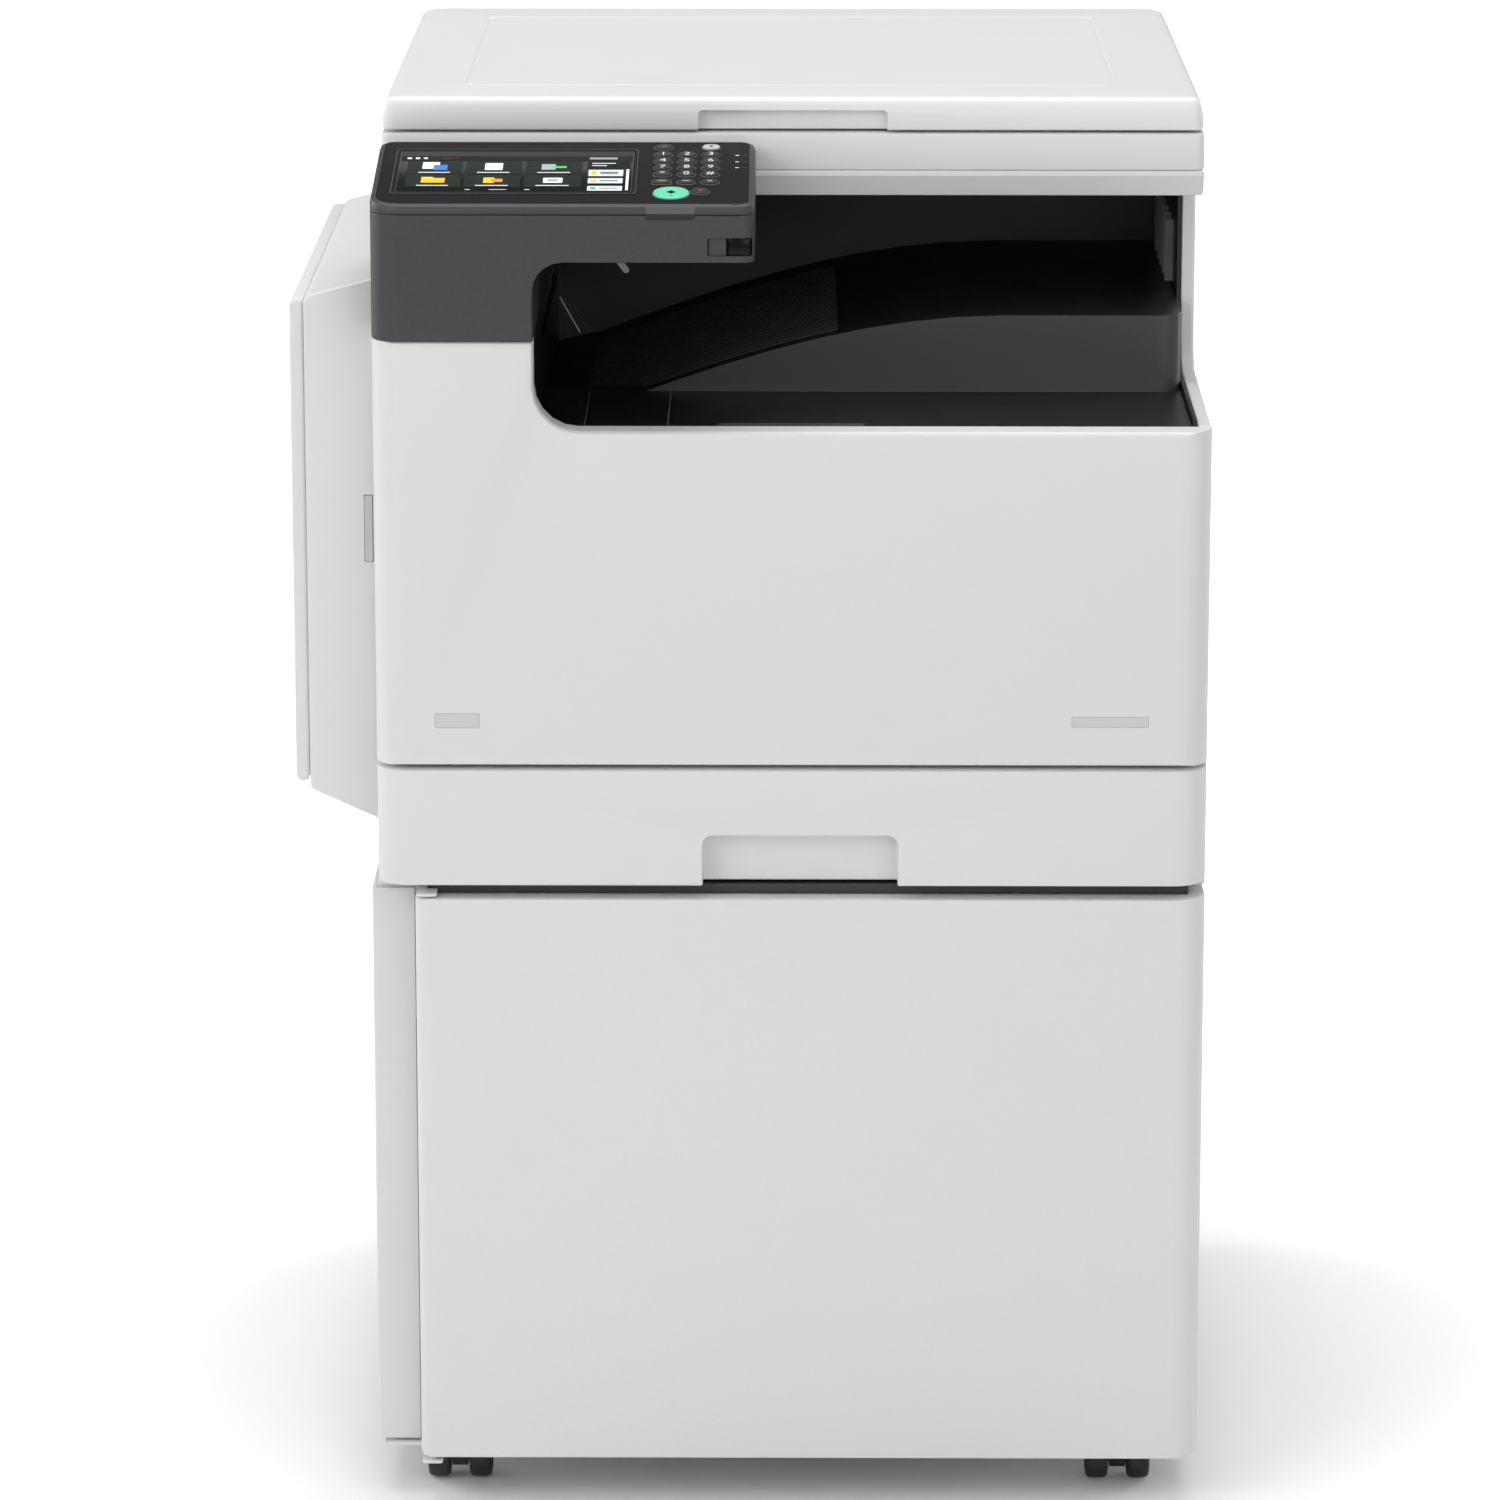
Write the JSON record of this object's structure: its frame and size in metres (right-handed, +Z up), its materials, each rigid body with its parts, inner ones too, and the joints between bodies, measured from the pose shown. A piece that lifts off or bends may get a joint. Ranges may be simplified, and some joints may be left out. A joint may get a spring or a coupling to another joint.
{
  "type": "office photocopier",
  "caption": "Office photocopier on a wheeled cabinet, with scanner lid, tilted key panel, sheet cavity, front and side covers and a paper drawer.",
  "frame": {"origin": "on the floor under the middle of the whole machine's bounding box", "axes": "+X to the machine's right as seen from the front, +Y from the front to the rear, +Z up"},
  "size_m": [0.625, 0.635, 0.9725],
  "materials": {
    "shell": "fine moulded texture",
    "charcoal": "fine moulded texture",
    "black": "moulded satin",
    "screen": "gloss",
    "key_dark": "moulded satin",
    "key_pale": "moulded satin",
    "start_green": "moulded satin",
    "steel": "zinc plated sheet",
    "tyre": "moulded",
    "glass": "polished",
    "foam": "white film over foam",
    "photoconductor": "coated, glossy",
    "roller_rubber": "ground"
  },
  "bodies": {
    "base": {"pedestal_cabinet": "shell", "pedestal_side_cover": "shell", "chassis": "steel", "rear_cover": "shell", "power_inlet": "black", "right_cover": "shell", "left_side_cover": "shell", "inner_cover": "black", "output_tray": "charcoal", "scanner_base": "shell", "scanner_housing": "shell", "platen_glass": "glass", "panel_housing": "charcoal", "panel_top": "charcoal", "touch_screen": "screen", "main_motor": "steel"},
    "cabinet_door": {"pedestal_door": "shell"},
    "front_cover": {"front_cover": "shell"},
    "left_cover": {"left_cover": "shell"},
    "latch": {"left_cover_latch": "key_pale"},
    "bypass_tray": {"bypass_tray": "shell"},
    "drawer": {"cassette": "charcoal", "cassette_front": "shell"},
    "lift_plate": {"lift_plate": "steel"},
    "lid": {"platen_cover": "shell", "platen_pad": "foam"},
    "carriage": {"scan_carriage": "black"},
    "power_key": {"power_switch": "black"},
    "drum": {"drum": "photoconductor"},
    "toner_bottle": {"toner_bottle": "black"},
    "fuser_roller": {"fuser_roller": "black"},
    "pressure_roller": {"pressure_roller": "roller_rubber"},
    "exit_roller": {"exit_roller": "roller_rubber"},
    "key_0": {"key_0": "key_dark"},
    "key_1": {"key_1": "key_dark"},
    "key_2": {"key_2": "key_dark"},
    "key_3": {"key_3": "key_dark"},
    "key_4": {"key_4": "key_dark"},
    "key_5": {"key_5": "key_dark"},
    "key_6": {"key_6": "key_dark"},
    "key_7": {"key_7": "key_dark"},
    "key_8": {"key_8": "key_dark"},
    "key_9": {"key_9": "key_dark"},
    "key_clear": {"key_clear": "key_dark"},
    "key_hash": {"key_hash": "key_dark"},
    "key_home": {"key_home": "key_dark"},
    "key_identify": {"key_identify": "key_dark"},
    "key_settings": {"key_settings": "key_dark"},
    "key_sleep": {"key_sleep": "key_pale"},
    "key_star": {"key_star": "key_dark"},
    "key_start": {"key_start": "start_green"},
    "key_stop": {"key_stop": "key_dark"},
    "swivel_front_left": {"caster_housing_front_left": "black"},
    "wheels_front_left": {"caster_wheels_front_left": "tyre"},
    "swivel_front_right": {"caster_housing_front_right": "black"},
    "wheels_front_right": {"caster_wheels_front_right": "tyre"},
    "swivel_rear_left": {"caster_housing_rear_left": "black"},
    "wheels_rear_left": {"caster_wheels_rear_left": "tyre"},
    "swivel_rear_right": {"caster_housing_rear_right": "black"},
    "wheels_rear_right": {"caster_wheels_rear_right": "tyre"}
  },
  "joints": [
    {"name": "bypass_tray_fold", "type": "hinge", "parent": "left_cover", "child": "bypass_tray", "pos_m": [-0.30765, -0.0445, 0.51285], "axis": [0, -1, 0], "range_deg": [0, 62]},
    {"name": "cabinet_door_hinge", "type": "hinge", "parent": "base", "child": "cabinet_door", "pos_m": [-0.2199, -0.3095, 0.0386], "axis": [0, 0, -1], "range_deg": [0, 100]},
    {"name": "cassette_slide", "type": "slide", "parent": "base", "child": "drawer", "axis": [0, -1, 0], "range_m": [0, 0.4]},
    {"name": "cover_front_hinge", "type": "hinge", "parent": "base", "child": "front_cover", "pos_m": [0.0295, -0.3135, 0.5399], "axis": [1, 0, 0], "range_deg": [0, 90]},
    {"name": "cover_left_hinge", "type": "hinge", "parent": "base", "child": "left_cover", "pos_m": [-0.2658, 0.1565, 0.482], "axis": [0, 0, -1], "range_deg": [0, 75]},
    {"name": "cover_platen_hinge", "type": "hinge", "parent": "base", "child": "lid", "pos_m": [0.0295, 0.3045, 0.9591], "axis": [-1, 0, 0], "range_deg": [0, 70]},
    {"name": "drum_spin", "type": "hinge", "parent": "base", "child": "drum", "pos_m": [-0.1465, -0.0355, 0.63675], "axis": [0, 1, 0], "continuous": true},
    {"name": "exit_spin", "type": "hinge", "parent": "base", "child": "exit_roller", "pos_m": [-0.1655, -0.00685, 0.8047], "axis": [0, 1, 0], "continuous": true},
    {"name": "fuser_spin", "type": "hinge", "parent": "base", "child": "fuser_roller", "pos_m": [-0.1755, -0.00685, 0.7532], "axis": [0, 1, 0], "continuous": true},
    {"name": "latch_press", "type": "slide", "parent": "left_cover", "child": "latch", "axis": [0, 1, 0], "range_m": [0, 0.003], "stiffness_N_per_m": 300, "springref_m": -0.001},
    {"name": "lift_plate_hinge", "type": "hinge", "parent": "drawer", "child": "lift_plate", "pos_m": [0.217, -0.0375, 0.45425], "axis": [0, 1, 0], "range_deg": [0, 8]},
    {"name": "power_key_press", "type": "slide", "parent": "base", "child": "power_key", "axis": [0, 1, 0], "range_m": [0, 0.0012], "stiffness_N_per_m": 300, "springref_m": -0.0005},
    {"name": "pressure_spin", "type": "hinge", "parent": "base", "child": "pressure_roller", "pos_m": [-0.204, -0.00685, 0.7532], "axis": [0, 1, 0], "continuous": true},
    {"name": "scan_travel", "type": "slide", "parent": "base", "child": "carriage", "axis": [1, 0, 0], "range_m": [0, 0.48]},
    {"name": "swivel_front_left", "type": "hinge", "parent": "base", "child": "swivel_front_left", "pos_m": [-0.204, -0.233, 0.0613], "axis": [0, 0, 1], "continuous": true},
    {"name": "swivel_front_right", "type": "hinge", "parent": "base", "child": "swivel_front_right", "pos_m": [0.26, -0.233, 0.0613], "axis": [0, 0, 1], "continuous": true},
    {"name": "swivel_rear_left", "type": "hinge", "parent": "base", "child": "swivel_rear_left", "pos_m": [-0.204, 0.22, 0.0613], "axis": [0, 0, 1], "continuous": true},
    {"name": "swivel_rear_right", "type": "hinge", "parent": "base", "child": "swivel_rear_right", "pos_m": [0.26, 0.22, 0.0613], "axis": [0, 0, 1], "continuous": true},
    {"name": "toner_spin", "type": "hinge", "parent": "base", "child": "toner_bottle", "pos_m": [0.1807, -0.0375, 0.63675], "axis": [0, 1, 0], "continuous": true},
    {"name": "wheel_front_left", "type": "hinge", "parent": "swivel_front_left", "child": "wheels_front_left", "pos_m": [-0.204, -0.243, 0.021], "axis": [1, 0, 0], "continuous": true},
    {"name": "wheel_front_right", "type": "hinge", "parent": "swivel_front_right", "child": "wheels_front_right", "pos_m": [0.26, -0.243, 0.021], "axis": [1, 0, 0], "continuous": true},
    {"name": "wheel_rear_left", "type": "hinge", "parent": "swivel_rear_left", "child": "wheels_rear_left", "pos_m": [-0.204, 0.21, 0.021], "axis": [1, 0, 0], "continuous": true},
    {"name": "wheel_rear_right", "type": "hinge", "parent": "swivel_rear_right", "child": "wheels_rear_right", "pos_m": [0.26, 0.21, 0.021], "axis": [1, 0, 0], "continuous": true},
    {"name": "key_0_press", "type": "slide", "parent": "base", "child": "key_0", "axis": [0, 0.1621, -0.9868], "range_m": [0, 0.001], "stiffness_N_per_m": 300, "springref_m": -0.0005},
    {"name": "key_1_press", "type": "slide", "parent": "base", "child": "key_1", "axis": [0, 0.1621, -0.9868], "range_m": [0, 0.001], "stiffness_N_per_m": 300, "springref_m": -0.0005},
    {"name": "key_2_press", "type": "slide", "parent": "base", "child": "key_2", "axis": [0, 0.1621, -0.9868], "range_m": [0, 0.001], "stiffness_N_per_m": 300, "springref_m": -0.0005},
    {"name": "key_3_press", "type": "slide", "parent": "base", "child": "key_3", "axis": [0, 0.1621, -0.9868], "range_m": [0, 0.001], "stiffness_N_per_m": 300, "springref_m": -0.0005},
    {"name": "key_4_press", "type": "slide", "parent": "base", "child": "key_4", "axis": [0, 0.1621, -0.9868], "range_m": [0, 0.001], "stiffness_N_per_m": 300, "springref_m": -0.0005},
    {"name": "key_5_press", "type": "slide", "parent": "base", "child": "key_5", "axis": [0, 0.1621, -0.9868], "range_m": [0, 0.001], "stiffness_N_per_m": 300, "springref_m": -0.0005},
    {"name": "key_6_press", "type": "slide", "parent": "base", "child": "key_6", "axis": [0, 0.1621, -0.9868], "range_m": [0, 0.001], "stiffness_N_per_m": 300, "springref_m": -0.0005},
    {"name": "key_7_press", "type": "slide", "parent": "base", "child": "key_7", "axis": [0, 0.1621, -0.9868], "range_m": [0, 0.001], "stiffness_N_per_m": 300, "springref_m": -0.0005},
    {"name": "key_8_press", "type": "slide", "parent": "base", "child": "key_8", "axis": [0, 0.1621, -0.9868], "range_m": [0, 0.001], "stiffness_N_per_m": 300, "springref_m": -0.0005},
    {"name": "key_9_press", "type": "slide", "parent": "base", "child": "key_9", "axis": [0, 0.1621, -0.9868], "range_m": [0, 0.001], "stiffness_N_per_m": 300, "springref_m": -0.0005},
    {"name": "key_clear_press", "type": "slide", "parent": "base", "child": "key_clear", "axis": [0, 0.1621, -0.9868], "range_m": [0, 0.001], "stiffness_N_per_m": 300, "springref_m": -0.0005},
    {"name": "key_hash_press", "type": "slide", "parent": "base", "child": "key_hash", "axis": [0, 0.1621, -0.9868], "range_m": [0, 0.001], "stiffness_N_per_m": 300, "springref_m": -0.0005},
    {"name": "key_home_press", "type": "slide", "parent": "base", "child": "key_home", "axis": [0, 0.1621, -0.9868], "range_m": [0, 0.001], "stiffness_N_per_m": 300, "springref_m": -0.0005},
    {"name": "key_identify_press", "type": "slide", "parent": "base", "child": "key_identify", "axis": [0, 0.1621, -0.9868], "range_m": [0, 0.001], "stiffness_N_per_m": 300, "springref_m": -0.0005},
    {"name": "key_settings_press", "type": "slide", "parent": "base", "child": "key_settings", "axis": [0, 0.1621, -0.9868], "range_m": [0, 0.001], "stiffness_N_per_m": 300, "springref_m": -0.0005},
    {"name": "key_sleep_press", "type": "slide", "parent": "base", "child": "key_sleep", "axis": [0, 0.1621, -0.9868], "range_m": [0, 0.001], "stiffness_N_per_m": 300, "springref_m": -0.0005},
    {"name": "key_star_press", "type": "slide", "parent": "base", "child": "key_star", "axis": [0, 0.1621, -0.9868], "range_m": [0, 0.001], "stiffness_N_per_m": 300, "springref_m": -0.0005},
    {"name": "key_start_press", "type": "slide", "parent": "base", "child": "key_start", "axis": [0, 0.1621, -0.9868], "range_m": [0, 0.001], "stiffness_N_per_m": 300, "springref_m": -0.0005},
    {"name": "key_stop_press", "type": "slide", "parent": "base", "child": "key_stop", "axis": [0, 0.1621, -0.9868], "range_m": [0, 0.001], "stiffness_N_per_m": 300, "springref_m": -0.0005}
  ],
  "couplings": [
    {"joint": "pressure_spin", "follows": "fuser_spin", "ratio": -1}
  ]
}
